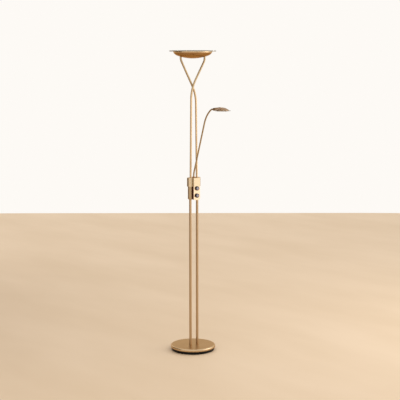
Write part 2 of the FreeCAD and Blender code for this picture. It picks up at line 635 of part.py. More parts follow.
def make_band():
    outer = band_prism("band_outside", "BandRadius", "BandFrontHalf", "BandFrontReach",
                       "BandBottom", "BandTop")
    front = amount("PoleY - BandFrontReach")
    side = amount("BandFrontHalf")

    def front_corner(edge):
        box = edge.BoundBox
        return (box.ZLength > 1 and abs(box.YMin - front) < 0.01 and box.YLength < 0.01
                and abs(abs(box.XMin) - side) < 0.01)

    round_edges(outer, "BandCorner", front_corner)
    round_edges(outer, "BandTopRound", level_edge(amount("BandTop")))
    inner = band_prism("band_inside", "(BandRadius - BandWall)", "BandFrontHalf - BandWall",
                       "BandFrontReach - BandWall", "BandBottom + BandWall", "BlockTop")
    sleeve_hole = stadium("band_sleeve_hole", "(SleeveRadius + HoleGap)", "BandBottom - 1",
                          "BandBottom + 2 * BandWall")
    case_hole = block("band_case_hole", "2 * CaseHalf + 2 * HoleGap", "CaseDepth + 2 * HoleGap",
                      "3 * BandWall", "-CaseHalf - HoleGap", "PoleY - PlateBack - HoleGap",
                      "BandBottom - BandWall")
    tube_holes = [rod("band_tube_hole", "UpperRadius + HoleGap", "2 * BandRoof", sign + "UpperX",
                      "PoleY", "BlockTop - 1") for side_name, sign in POLE_SIDES]
    socket_hole = rod("band_socket_hole", "SocketRadius + ThreadGap", "2 * BandRoof", "0", "PoleY",
                      "BlockTop - 1")
    keep(cut("band", outer, inner, sleeve_hole, case_hole, *tube_holes, socket_hole), "switch_band")


def make_junction_block():
    solid = stadium("block_outside", "BlockRadius", "BlockBottom", "BlockTop")
    tools = pole_holes("block", "PoleRadius + SeatGap", "BlockBottom", "PoleTop - BlockBottom")
    clamps = []
    lower_up, upper_up = "PoleTop - LowerClampDrop", "UpperFoot + UpperClampRise"
    for side, sign in POLE_SIDES:
        x = sign + "UpperX"
        tools.append(rod("block_tube_hole", "UpperRadius + SeatGap", "BlockTop - UpperFoot", x,
                         "PoleY", "UpperFoot"))
        tools.append(rod("block_wire_hole", "UpperRadius - UpperWall - HoleGap", "3 * BlockWeb", x,
                         "PoleY", "PoleTop - BlockWeb"))
        for up, reach, place in ((lower_up, "PoleRadius", sign + "PoleX"),
                                 (upper_up, "UpperRadius", x)):
            start = "PoleY + %s + 2 * SeatGap" % reach
            tools.append(rod("block_clamp_hole", "ClampRadius + SeatGap", "BlockRadius", place,
                             start, up, "back"))
            solid_screw = rod("clamp_body", "ClampRadius", "ClampLength", place, start, up, "back")
            key_hole = sized("Part::Prism", "clamp_key", {
                "Circumradius": "ClampRadius / 2", "Height": "ClampLength / 2"})
            key_hole.Polygon = 6
            seat(turn(key_hole, "back"), place, start + " + ClampLength / 2", up)
            clamps.append(cut("clamp_screw", solid_screw, key_hole))
    for side, sign in POLE_SIDES:
        tools.append(rod("block_sleeve_screw_hole", "SleeveScrewRadius + ThreadGap",
                         "SleeveScrewLength + 1", sign + "SleeveScrewSpread / 2",
                         "PoleY + SleeveRadius - SleeveScrewLength - 1",
                         "SleeveTop - SleeveOverlap / 2", "back"))
    tools.append(rod("block_socket_hole", "SocketRadius + SeatGap", "BlockTop - BlockBottom", "0",
                     "PoleY", "BlockBottom"))
    keep(cut("junction", solid, *tools), "junction_block")
    keep(group("screws_in_block", clamps), "clamp_screws")


def make_dimmer_case():
    bottom = "SleeveBottom + CaseBottomRise"
    height = "BandBottom + CaseIntoBand - SleeveBottom - CaseBottomRise"
    outer = block("case_outside", "2 * CaseHalf", "CaseDepth", height, "-CaseHalf",
                  "PoleY - PlateBack", bottom)
    inner = block("case_inside", "2 * (CaseHalf - CaseWall)", "CaseDepth - CaseWall + 1",
                  "%s - 2 * CaseWall" % height, "-(CaseHalf - CaseWall)", "PoleY - PlateBack - 1",
                  "%s + CaseWall" % bottom)
    keep(cut("case", outer, inner, *wire_holes("case_wire_hole", "CaseBack - 1", "CaseWall + 2")),
         "dimmer_case")

    plate = padded("front_plate_blank", "XZ_Plane", (
        ("-(PlateHalf - PlateCorner)", "SleeveBottom - PlateDrop"),
        ("PlateHalf - PlateCorner", "SleeveBottom - PlateDrop", "PlateCorner", 1),
        ("PlateHalf", "SleeveBottom - PlateDrop + PlateCorner"),
        ("PlateHalf", "BandBottom - HoleGap"),
        ("-PlateHalf", "BandBottom - HoleGap"),
        ("-PlateHalf", "SleeveBottom - PlateDrop + PlateCorner", "PlateCorner", 1),
    ), "PlateThickness", "PlateBack + PoleForward")
    holes = [rod("plate_hole", "BushingRadius + ThreadGap", "3 * PlateThickness", "0",
                 "PoleY - PlateBack + PlateThickness", up, "front")
             for up in ("UpperKnobHeight", "LowerKnobHeight")]
    keep(cut("front_plate", plate, *holes), "dimmer_front_plate")


def make_dimmers():
    keep(block("board", "4 * DimmerHalf", "BoardThickness", "KnobPitch + 3 * DimmerHalf",
               "-2 * DimmerHalf", "PoleY - DimmerBack", "LowerKnobHeight - 1.5 * DimmerHalf"),
         "dimmer_board")
    dimmers, nuts = [], []
    for level, up in (("upper", "UpperKnobHeight"), ("lower", "LowerKnobHeight")):
        case = block("dimmer_body", "2 * DimmerHalf", "DimmerDepth", "2 * DimmerHalf",
                     "-DimmerHalf", "PoleY - DimmerFront", up + " - DimmerHalf")
        bushing = rod("dimmer_bushing", "BushingRadius", "PlateFront + BushingReach - DimmerFront",
                      "0", "PoleY - DimmerFront", up, "front")
        bore = rod("dimmer_bore", "ShaftRadius + RunningGap", "2 * DimmerDepth + BushingReach",
                   "0", "PoleY - DimmerBack - 1.5", up, "front")
        dimmers.append(cut("dimmer", fuse("dimmer_solid", case, bushing), bore))
        nuts.append(hex_nut("dimmer_nut", "DimmerNutAcross", "BushingRadius + ThreadGap",
                            "DimmerNutThickness", "0", "PoleY - PlateFront", up, "front"))
        keep(rod("shaft_" + level, "ShaftRadius", "ShaftEnd - DimmerBack - 1.5 - MovingGap", "0",
                 "PoleY - DimmerBack - 1.5 - MovingGap", up, "front"), level + "_dimmer_shaft")
        make_knob(level, up)
    keep(group("dimmers", dimmers), "rotary_dimmers")
    keep(group("nuts_on_plate", nuts), "dimmer_nuts")


def make_knob(level, up):
    """A smooth knob with an inset domed cap, a pointer notch and a recess over its nut."""
    grip = turned("knob_grip_" + level, (
        ("0", "KnobDepth - KnobCapInset"),
        ("0", "KnobRecess"),
        ("KnobRecessRadius", "KnobRecess"),
        ("KnobRecessRadius", "0"),
        ("KnobRadius - KnobRound / 2", "0"),
        ("KnobRadius", "KnobRound / 2"),
        ("KnobRadius", "KnobDepth - KnobRound", "KnobRound", 1),
        ("KnobRadius - KnobRound", "KnobDepth"),
        ("KnobCapRadius + SeatGap", "KnobDepth"),
        ("KnobCapRadius + SeatGap", "KnobDepth - KnobCapInset"),
    ))
    seat(turn(grip, "front"), "0", "PoleY - KnobBack", up)
    bore = rod("knob_bore", "ShaftRadius + SeatGap", "KnobDepth - KnobFront + SeatGap", "0",
               "PoleY - KnobBack", up, "front")
    notch = block("knob_notch", "MarkWidth", "2 * MarkDepth", "KnobRadius - KnobCapRadius + 1",
                  "-MarkWidth / 2", "PoleY - KnobBack - KnobDepth - MarkDepth",
                  up + " + KnobCapRadius + 0.5")
    keep(cut("knob_" + level, grip, bore, notch), level + "_knob")
    dome = "(KnobCapRadius ^ 2 + KnobCapRise ^ 2) / (2 * KnobCapRise)"
    cap = turned("knob_dome_" + level, (
        ("0", "KnobDepth - KnobCapInset"),
        ("KnobCapRadius", "KnobDepth - KnobCapInset"),
        ("KnobCapRadius", "KnobDepth", dome, 1),
        ("0", "KnobDepth + KnobCapRise"),
    ))
    keep(seat(turn(cap, "front"), "0", "PoleY - KnobBack", up), level + "_knob_cap")


# Upper tubes

def tube_runs(side):
    """Straight runs and bends of one upper tube, from its foot to the dish."""
    lean, start, splay = side + "Lean", side + "BendStart", side + "Splay"
    sign = "-" if side == "Left" else ""
    reach = "sqrt((DishX + UpperX) ^ 2 + (%sDishY + PoleY) ^ 2)" % ("-" if side == "Left" else "")
    up_run = "(%s - LeanStart - LeanRadius * sin(%s)) / cos(%s)" % (start, lean, lean)
    slant = ("(%s - LeanRadius * (1 - cos(%s)) - (%s) * sin(%s)"
             " - CrossingRadius * (cos(%s) - cos(%s))"
             " - EndBendRadius * (1 - cos(%s))) / sin(%s)"
             % (reach, lean, up_run, lean, lean, splay, splay, splay))
    last = ("BowlBottom + PlateRise - %s - CrossingRadius * (sin(%s) - sin(%s))"
            " - (%s) * cos(%s) - EndBendRadius * sin(%s)" % (start, splay, lean, slant, splay, splay))
    runs = (("LeanStart - UpperFoot",), ("LeanRadius", lean, 1), (up_run,),
            ("CrossingRadius", "%s - %s" % (splay, lean), 1), (slant,),
            ("EndBendRadius", splay, -1), (last,))
    foot = sign + "UpperX"
    end = ("DishX", "DishY") if side == "Left" else ("-DishX", "-DishY")
    angle = math.degrees(math.atan2(amount(end[1]) - amount("PoleY"), amount(end[0]) - amount(foot)))
    return runs, foot, angle


def make_upper_tubes():
    bodies = {}
    for side in ("Left", "Right"):
        runs, foot, angle = tube_runs(side)
        body, path = bent_tube("tube_" + side, "UpperFoot", runs, "UpperRadius", "UpperBore", angle)
        seat(body, foot, "PoleY")
        crown = sized("Part::Sphere", "bowl_underside", {"Radius": "BowlCrown + SeatGap"})
        seat(crown, "0", "0", "BowlBottom + BowlCrown")
        keep(cut("trimmed_tube_" + side, body, crown), "upper_tube_" + side.lower())
        bodies[side] = (body, path)
    return bodies


# Dish

def make_dish():
    inside = "(BowlCrown - BowlWall)"
    bowl = turned("bowl_shell", (
        ("0", "BowlBottom", "BowlCrown", 1),
        ("BowlBreak", "BowlBottom + BreakRise", "BowlShoulder", 1),
        ("BowlRadius", "BowlBottom + LipRise"),
        ("BowlRadius", "BowlRim"),
        ("BowlRadius - BowlFlange", "BowlRim"),
        ("BowlRadius - BowlFlange", "BowlRim - BowlWall"),
        ("BowlInside", "BowlRim - BowlWall"),
        ("BowlInside", "BowlBottom + LipRiseInside", "BowlShoulder - BowlWall", -1),
        ("BowlBreak * (1 - BowlWall / BowlCrown)",
         "BowlBottom + BreakRise + BowlWall * BreakCosine", inside, -1),
        ("0", "BowlBottom + BowlWall"),
    ))
    mounts = (("DishX", "DishY"), ("-DishX", "-DishY"))
    bowl_holes = [rod("bowl_hole", "NippleRadius + HoleGap", "PlateRise", x, y, "BowlBottom")
                  for x, y in mounts]
    keep(cut("bowl", bowl, *bowl_holes), "dish_bowl")

    spacers = []
    for x, y in mounts:
        collar = ring("spacer_ring", "SpacerRadius", "NippleRadius + HoleGap", "PlateRise", x, y,
                      "BowlBottom")
        seat_form = sized("Part::Sphere", "bowl_inside", {"Radius": inside + " - SeatGap"})
        seat(seat_form, "0", "0", "BowlBottom + BowlCrown")
        spacer = doc.addObject("Part::MultiCommon", "spacer")
        spacer.Shapes = [collar, seat_form]
        spacers.append(spacer)
    keep(group("spacers", spacers), "dish_spacers")

    nipple_foot = "BowlBottom + NippleLift"
    keep(group("nipples_in_dish", [
        ring("dish_nipple", "NippleRadius", "NippleBore", "DishNippleTop - BowlBottom - NippleLift",
             x, y, nipple_foot) for x, y in mounts]), "dish_nipples")

    plate = bar("mount_bar", "MountLength", "MountWidth", "MountThickness", "MountBottom")
    plate_holes = [rod("mount_hole", "NippleRadius + HoleGap", "MountThickness", x, y, "MountBottom")
                   for x, y in mounts]
    keep(cut("mount", plate, *plate_holes), "mounting_plate")
    keep(bar("driver", "DriverLength", "DriverWidth", "DriverHeight", "MountTop"), "led_driver")

    feet = [lengthwise(along + "PillarAlong", sideways + "PillarAcross")
            for along in ("", "-") for sideways in ("", "-")]
    pillars = []
    for x, y in feet:
        post = rod("pillar_post", "PillarRadius", "PillarHeight", x, y, "MountTop")
        thread = rod("pillar_thread", "SmallScrew + ThreadGap", "SmallLength", x, y,
                     "CoolerBottom - SmallLength")
        pillars.append(cut("pillar", post, thread))
    keep(group("pillars", pillars), "dish_pillars")

    cooler = rod("cooler_disc", "CoolerRadius", "CoolerThickness", "0", "0", "CoolerBottom")
    keep(cut("cooler", cooler, *[rod("cooler_hole", "SmallScrew + HoleGap", "CoolerThickness", x, y,
                                     "CoolerBottom") for x, y in feet]), "dish_heatsink")
    lamp_board = rod("lamp_board_disc", "LampBoardRadius", "BoardThickness", "0", "0",
                     "LampBoardBottom")
    keep(cut("lamp_board", lamp_board, *[rod("board_hole", "SmallScrew + HoleGap", "BoardThickness",
                                             x, y, "LampBoardBottom") for x, y in feet]),
         "dish_led_board")
    keep(group("screws_in_dish", [down_screw("board_screw", x, y, "LampBoardTop") for x, y in feet]),
         "dish_board_screws")
    chips = [chip("ChipSide", "ChipHeight", x, y, "LampBoardTop")
             for count, circle in ((20, "OuterRing"), (10, "InnerRing"))
             for x, y in around(count, circle, 9)]
    keep(group("chips_in_dish", chips), "dish_leds")

    keep(ring("gasket", "BowlRadius", "BowlRadius - BowlFlange", "GasketThickness", "0", "0",
              "BowlRim"), "dish_gasket")
    keep(glass_disc("dish_disc", "GlassRadius", "GlassBottom", "GlassThickness"), "dish_glass")


def down_screw(name, x, y, up):
    """A small screw driven down, with its head above the given height."""
    shank = rod(name + "_shank", "SmallScrew", "SmallLength", x, y, up + " - SmallLength")
    return fuse(name, shank, rod(name + "_head", "SmallHead", "SmallHeadHeight", x, y, up))


def chip(side, height, x, y, up):
    return block("chip", side, side, height, "%s - %s / 2" % (x, side), "%s - %s / 2" % (y, side), up)


def glass_disc(name, radius, bottom, thickness):
    """A flat disc with a ground edge."""
    return turned(name, (
        ("0", bottom),
        ("%s - GlassEdge" % radius, bottom, "GlassEdge", 1),
        (radius, "%s + GlassEdge" % bottom),
        (radius, "%s + %s - GlassEdge" % (bottom, thickness), "GlassEdge", 1),
        ("%s - GlassEdge" % radius, "%s + %s" % (bottom, thickness)),
        ("0", "%s + %s" % (bottom, thickness)),
    ))


# Reading arm

def make_arm():
    stem = rod("socket_stem", "SocketRadius", "BandTop - SocketBottom", "0", "PoleY", "SocketBottom")
    flange = rod("socket_flange", "SocketFlange", "SocketFlangeThickness", "0", "PoleY", "BandTop")
    bore = rod("socket_bore", "ArmRadius + RunningGap", "SocketTop - SocketBottom", "0", "PoleY",
               "SocketBottom")
    keep(cut("socket", fuse("socket_solid", stem, flange), bore), "arm_socket")
    keep(hex_nut("socket_nut", "SocketNutAcross", "SocketRadius + ThreadGap", "SocketNutThickness",
                 "0", "PoleY", "BlockBottom - SocketNutThickness"), "arm_socket_nut")

    runs = (("CollarTop - ArmFoot",), ("ArmLeanRadius", "ArmLean", 1), ("ArmStraight",),
            ("ArmSweepRadius", "ArmSweepEnd - ArmLean", 1),
            ("ArmHookRadius", "90 - ArmSweepEnd", 1), ("ArmTip",))
    body, path = bent_tube("arm_tube", "ArmFoot", runs, "ArmRadius", "ArmBore", -90)
    seat(body, "0", "PoleY")
    groove = ring("arm_groove", "ArmRadius + 1", "ArmRadius - RingGroove", "RingThickness", "0",
                  "PoleY", "RingTop - RingThickness")
    keep(cut("arm", body, groove), "reading_arm")
    keep(ring("circlip", "RingRadius", "ArmRadius - RingGroove + SeatGap",
              "RingThickness - 2 * SeatGap", "0", "PoleY", "RingTop - RingThickness + SeatGap"),
         "arm_retaining_ring")
    keep(ring("collar", "CollarRadius", "ArmRadius + SeatGap", "CollarHeight", "0", "PoleY",
              "SocketTop + MovingGap"), "arm_collar")

    eye = rod("knuckle_eye", "DrumRadius", "2 * EyeHalf", "-EyeHalf", "PivotY", "PivotHeight",
              "right")
    shoulder = rod("knuckle_shoulder", "ArmRadius", "PivotForward", "0", "PoleY - ArmForward",
                   "PivotHeight", "front")
    spigot = rod("knuckle_spigot", "SpigotRadius", "SpigotLength", "0",
                 "PoleY - ArmForward + SpigotLength", "PivotHeight", "front")
    wide = fuse("knuckle_solid", eye, shoulder, spigot)
    trims = [block("knuckle_trim", "ArmRadius", "PivotForward + DrumRadius", "4 * DrumRadius",
                   x, "PivotY - DrumRadius", "PivotHeight - 2 * DrumRadius")
             for x in ("EyeHalf", "-EyeHalf - ArmRadius")]
    slot = fuse("knuckle_sides", *[make_limited(trim) for trim in trims])
    pin_hole = rod("knuckle_pin_hole", "PinRadius + RunningGap", "4 * EyeHalf", "-2 * EyeHalf",
                   "PivotY", "PivotHeight", "right")
    wire_hole = rod("knuckle_wire_hole", "SmallScrew", "SpigotLength + PivotForward", "0",
                    "PoleY - ArmForward + SpigotLength", "PivotHeight", "front")
    keep(cut("knuckle", wide, slot, pin_hole, wire_hole), "arm_knuckle")
    return body, path


def make_limited(trim):
    """Keep the trim beside the eye to the space that the cheeks turn in."""
    space = rod("cheek_space", "DrumRadius + MovingGap", "8 * EyeHalf", "-4 * EyeHalf", "PivotY",
                "PivotHeight", "right")
    item = doc.addObject("Part::MultiCommon", "knuckle_relief")
    item.Shapes = [trim, space]
    return item


# Reading head

def head_envelope(name):
    """The dome's outer form as a full solid."""
    body = turned(name, (
        ("0", "HeadRim"),
        ("HeadRadius", "HeadRim"),
        ("HeadRadius", "HeadRim + HeadLip", "HeadSkirt", 1),
        ("HeadBreak", "HeadTop - HeadCrown + CrownCosine", "HeadCrown", 1),
        ("0", "HeadTop"),
    ))
    return seat(body, "0", "HeadY")


def head_screw_places():
    return [(sign + "NeckScrewSpread / 2", "HeadY + NeckScrewBack") for side, sign in POLE_SIDES]


def bezel_screw_places():
    return [(x, "HeadY + " + y) for x, y in around(3, "BezelScrewCircle", 30)]


def head_wire_hole():
    """The wire's way from the knuckle through the neck into the dome."""
    return rod("head_wire_hole", "SmallScrew", "HeadReach - HeadRadius + 8", "0", "PivotY",
               "PivotHeight", "front")


def make_head():
    shell = turned("dome_shell", (
        ("HeadRadius - HeadWall", "HeadRim"),
        ("HeadRadius", "HeadRim"),
        ("HeadRadius", "HeadRim + HeadLip", "HeadSkirt", 1),
        ("HeadBreak", "HeadTop - HeadCrown + CrownCosine", "HeadCrown", 1),
        ("0", "HeadTop"),
        ("0", "HeadTop - HeadWall", "HeadCrown - HeadWall", -1),
        ("HeadBreak * CrownShare", "HeadTop - HeadCrown + CrownCosine * CrownShare",
         "HeadSkirt - HeadWall", -1),
        ("HeadRadius - HeadWall", "HeadRim + HeadLip - HeadWall / 2"),
    ))
    seat(shell, "0", "HeadY")
    shell_holes = [rod("dome_hole", "SmallScrew + HoleGap", "HeadHeight", x, y, "HeadRim")
                   for x, y in head_screw_places()]
    keep(cut("dome", shell, *shell_holes, head_wire_hole()), "head_shell")

    cheeks = rod("cheek_drum", "DrumRadius", "2 * DrumHalf", "-DrumHalf", "PivotY", "PivotHeight",
                 "right")
    fairing = padded("neck_bar", "YZ_Plane", (
        ("PivotY", "HeadRim"),
        ("PivotY", "PivotHeight + DrumRadius"),
        ("PivotY - NeckCrest", "PivotHeight + NeckCrestRise"),
        ("PivotY - NeckReach", "HeadTop - HeadWall"),
        ("PivotY - NeckReach", "HeadRim"),
    ), "2 * DrumHalf", "-DrumHalf")
    eye_space = rod("eye_space", "DrumRadius + MovingGap", "2 * (EyeHalf + MovingGap)",
                    "-EyeHalf - MovingGap", "PivotY", "PivotHeight", "right")
    pin_hole = rod("cheek_pin_hole", "PinRadius + SeatGap", "4 * DrumHalf", "-2 * DrumHalf",
                   "PivotY", "PivotHeight", "right")
    threads = [rod("neck_thread", "SmallScrew + ThreadGap", "NeckScrewLength + 0.6", x, y,
                   "HeadCoolerBottom") for x, y in head_screw_places()]
    keep(cut("neck", fuse("neck_solid", cheeks, fairing), head_envelope("dome_form"), eye_space,
             pin_hole, *threads, head_wire_hole()), "head_neck")

    pin = rod("pin_stem", "PinRadius", "2 * DrumHalf", "-DrumHalf", "PivotY", "PivotHeight", "right")
    pin_heads = [rod("pin_head", "PinHead", "PinHeadThickness", x, "PivotY", "PivotHeight", "right")
                 for x in ("DrumHalf", "-DrumHalf - PinHeadThickness")]
    keep(fuse("pin", pin, *pin_heads), "tilt_pin")

    cooler = rod("head_cooler_disc", "HeadCoolerRadius", "HeadCoolerThickness", "0", "HeadY",
                 "HeadCoolerBottom")
    screw_places = head_screw_places() + bezel_screw_places()
    keep(cut("head_cooler", cooler, *[
        rod("head_cooler_hole", "SmallScrew + ThreadGap", "HeadCoolerThickness", x, y,
            "HeadCoolerBottom") for x, y in screw_places]), "head_heatsink")
    lamp_board = rod("head_board_disc", "HeadBoardRadius", "HeadBoardThickness", "0", "HeadY",
                     "HeadBoardBottom")
    keep(cut("head_board", lamp_board, *[
        rod("head_board_hole", "SmallHead + HoleGap", "HeadBoardThickness", x, y, "HeadBoardBottom")
        for x, y in head_screw_places()]), "head_led_board")
    keep(group("chips_in_head", [
        chip("HeadChipSide", "HeadChipHeight", x, "HeadY + " + y, "HeadBoardBottom - HeadChipHeight")
        for x, y in around(9, "HeadChipRing", 10)]), "head_leds")

    disc = seat(glass_disc("head_disc", "HeadGlassRadius", "HeadGlassBottom", "HeadGlassThickness"),
                "0", "HeadY")
    glass_holes = [rod("glass_hole", "SmallScrew + 2 * HoleGap", "2 * HeadGlassThickness", x, y,
                       "HeadGlassBottom - 1") for x, y in bezel_screw_places()]
    keep(cut("head_disc_drilled", disc, *glass_holes), "head_glass")
    bezel_ring = ring("bezel_ring", "BezelOuter", "BezelInner", "BezelThickness", "0", "HeadY",
                      "HeadGlassBottom - BezelThickness")
    bezel_holes = [rod("bezel_hole", "SmallScrew + HoleGap", "BezelThickness", x, y,
                       "HeadGlassBottom - BezelThickness") for x, y in bezel_screw_places()]
    keep(cut("bezel", bezel_ring, *bezel_holes), "head_bezel")
    screws = [screw("neck_screw", "SmallScrew", "NeckScrewLength", "SmallHead", "SmallHeadHeight", x, y,
                    "HeadCoolerBottom") for x, y in head_screw_places()]
    screws += [screw("bezel_screw", "SmallScrew", "BezelScrewLength", "SmallHead",
                     "SmallHeadHeight", x, y, "HeadGlassBottom - BezelThickness")
                for x, y in bezel_screw_places()]
    keep(group("screws_in_head", screws), "head_screws")


# Cables inside the tubes

def route(corners, radius):
    """Edges of a line through the corners, with each turn rounded."""
    edges, start = [], corners[0]
    for before, corner, after in zip(corners, corners[1:], corners[2:]):
        inward, outward = (before - corner).normalize(), (after - corner).normalize()
        half = math.acos(max(-1.0, min(1.0, inward.dot(outward)))) / 2
        set_back = radius / math.tan(half)
        first, last = corner + inward * set_back, corner + outward * set_back
        middle = corner + (inward + outward).normalize() * (radius / math.sin(half) - radius)
        edges += [Part.LineSegment(start, first).toShape(), Part.Arc(first, middle, last).toShape()]
        start = last
    edges.append(Part.LineSegment(start, corners[-1]).toShape())
    return edges


def path_edges(body, path):
    """A bent tube's own centreline, where the tube stands."""
    doc.recompute()
    edges = []
    for edge in path.Shape.Edges:
        moved = edge.copy()
        moved.Placement = body.Placement.multiply(moved.Placement)
        edges.append(moved)
    return edges


def cable(label, edges):
    """A round cable swept along joined edges: a route in space that no sketch plane holds."""
    wire = Part.Wire(Part.sortEdges(edges)[0])
    start = wire.OrderedEdges[0]
    tangent = start.tangentAt(start.FirstParameter)
    if start.Orientation == "Reversed":
        start_point, tangent = start.valueAt(start.LastParameter), -start.tangentAt(start.LastParameter)
    else:
        start_point = start.valueAt(start.FirstParameter)
    circle = Part.Wire(Part.makeCircle(amount("CableRadius"), start_point, tangent))
    item = doc.addObject("Part::Feature", label + "_solid")
    item.Shape = wire.makePipeShell([circle], True, False)
    expected = math.pi * amount("CableRadius") ** 2 * wire.Length
    print("%s: length %.0f mm, volume over section times length %.4f"
          % (label, wire.Length, item.Shape.Volume / expected))
    return keep(item, label)


def make_cables(tubes, arm):
    pole_x, pole_y = amount("PoleX"), amount("PoleY")
    wire_up, wire_side = amount("WireHeight"), amount("WireSpread / 2")
    board = pole_y - amount("BoardBack") + amount("HoleGap")
    bend = amount("CableBend")
    # The mains cord's end needs room between the gland and this cable
    gland = V(0, amount("TrayRadius - GlandInside - CordRoom"), amount("GlandHeight"))
    turn_up = amount("NippleFoot - GlandHeight")
    foot = V(-pole_x, pole_y, gland.z)
    base_edges = route([gland, foot, V(-pole_x, pole_y, wire_up / 2)], turn_up)
    head_edges = route([V(-pole_x, pole_y, wire_up / 2), V(-pole_x, pole_y, wire_up),
                        V(-wire_side, pole_y, wire_up), V(-wire_side, board, wire_up)], bend * 0.8)
    cable("pole_cable", base_edges + head_edges)

    upper_x = amount("UpperX")
    tube_foot = V(upper_x, pole_y, amount("UpperFoot"))
    lead_in = route([V(wire_side, board, wire_up), V(wire_side, pole_y, wire_up),
                     V(upper_x, pole_y, wire_up), tube_foot], bend * 0.7)
    run = path_edges(*tubes["Right"])
    top = V(-amount("DishX"), -amount("DishY"), 0)
    inward = (V(0, 0, 0) - top).normalize()
    last = V(top.x, top.y, amount("BowlBottom + PlateRise"))
    level = amount("MountTop + DriverHeight") - amount("CableRadius") - 1
    lead_out = route([last, V(top.x, top.y, level),
                      V(0, 0, level) - inward * (amount("DriverLength / 2"))], bend)
    cable("dish_cable", lead_in + run + lead_out)
    cable("arm_cable", path_edges(*arm)[:-1])


make_base()
make_poles()
make_sleeve()
make_band()
make_junction_block()
make_dimmer_case()
make_dimmers()
upper_tubes = make_upper_tubes()
make_dish()
make_nipple_nuts()
arm_path = make_arm()
make_head()
make_cables(upper_tubes, arm_path)
doc.recompute()

for item in doc.Objects:
    if {"Invalid", "Error"} & set(item.State):
        raise RuntimeError("%s failed: %s" % (item.Label, item.State))
for item in nodes:
    if item.Shape.isNull() or not item.Shape.isValid() or not item.Shape.Solids:
        raise RuntimeError("%s has no valid solid" % item.Label)

os.makedirs("parts", exist_ok=True)
for item in nodes:
    item.Shape.exportStep("parts/%s.step" % item.Label)
print("%d sub-parts, %d solids" % (len(nodes), sum(len(item.Shape.Solids) for item in nodes)))
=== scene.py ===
"""Looks of the torchiere floor lamp with a reading arm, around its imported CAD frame."""

import math

import bpy
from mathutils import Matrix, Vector


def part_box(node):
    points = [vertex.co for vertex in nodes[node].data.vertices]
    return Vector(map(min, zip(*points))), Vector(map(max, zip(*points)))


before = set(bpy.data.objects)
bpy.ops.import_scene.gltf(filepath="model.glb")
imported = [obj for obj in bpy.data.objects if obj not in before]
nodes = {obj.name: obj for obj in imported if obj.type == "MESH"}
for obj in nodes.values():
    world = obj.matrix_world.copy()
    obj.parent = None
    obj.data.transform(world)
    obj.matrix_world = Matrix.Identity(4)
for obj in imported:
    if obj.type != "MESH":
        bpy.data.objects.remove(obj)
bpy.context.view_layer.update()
scene = bpy.context.scene


# Camera, at the photograph's place: to the left of the lamp's front and a little below its dish

CAMERA_AZIMUTH = math.radians(-37.5)
CAMERA_AWAY = 6.2027
CAMERA_HEIGHT = 1.7059
CAMERA_PITCH = math.radians(7.263)
CAMERA_YAW = math.radians(-0.396)
SENSOR = 36.0
PHOTO_WIDTH = 400
FOCAL_PIXELS = 1045.785

camera_data = bpy.data.cameras.new("camera")
camera_data.sensor_width = SENSOR
camera_data.lens = SENSOR * FOCAL_PIXELS / PHOTO_WIDTH
camera = bpy.data.objects.new("camera", camera_data)
camera.location = (math.sin(CAMERA_AZIMUTH) * CAMERA_AWAY, -math.cos(CAMERA_AZIMUTH) * CAMERA_AWAY,
                   CAMERA_HEIGHT)
camera.rotation_euler = (math.pi / 2 - CAMERA_PITCH, 0, CAMERA_AZIMUTH + CAMERA_YAW)
scene.collection.objects.link(camera)
scene.camera = camera


# Material helpers

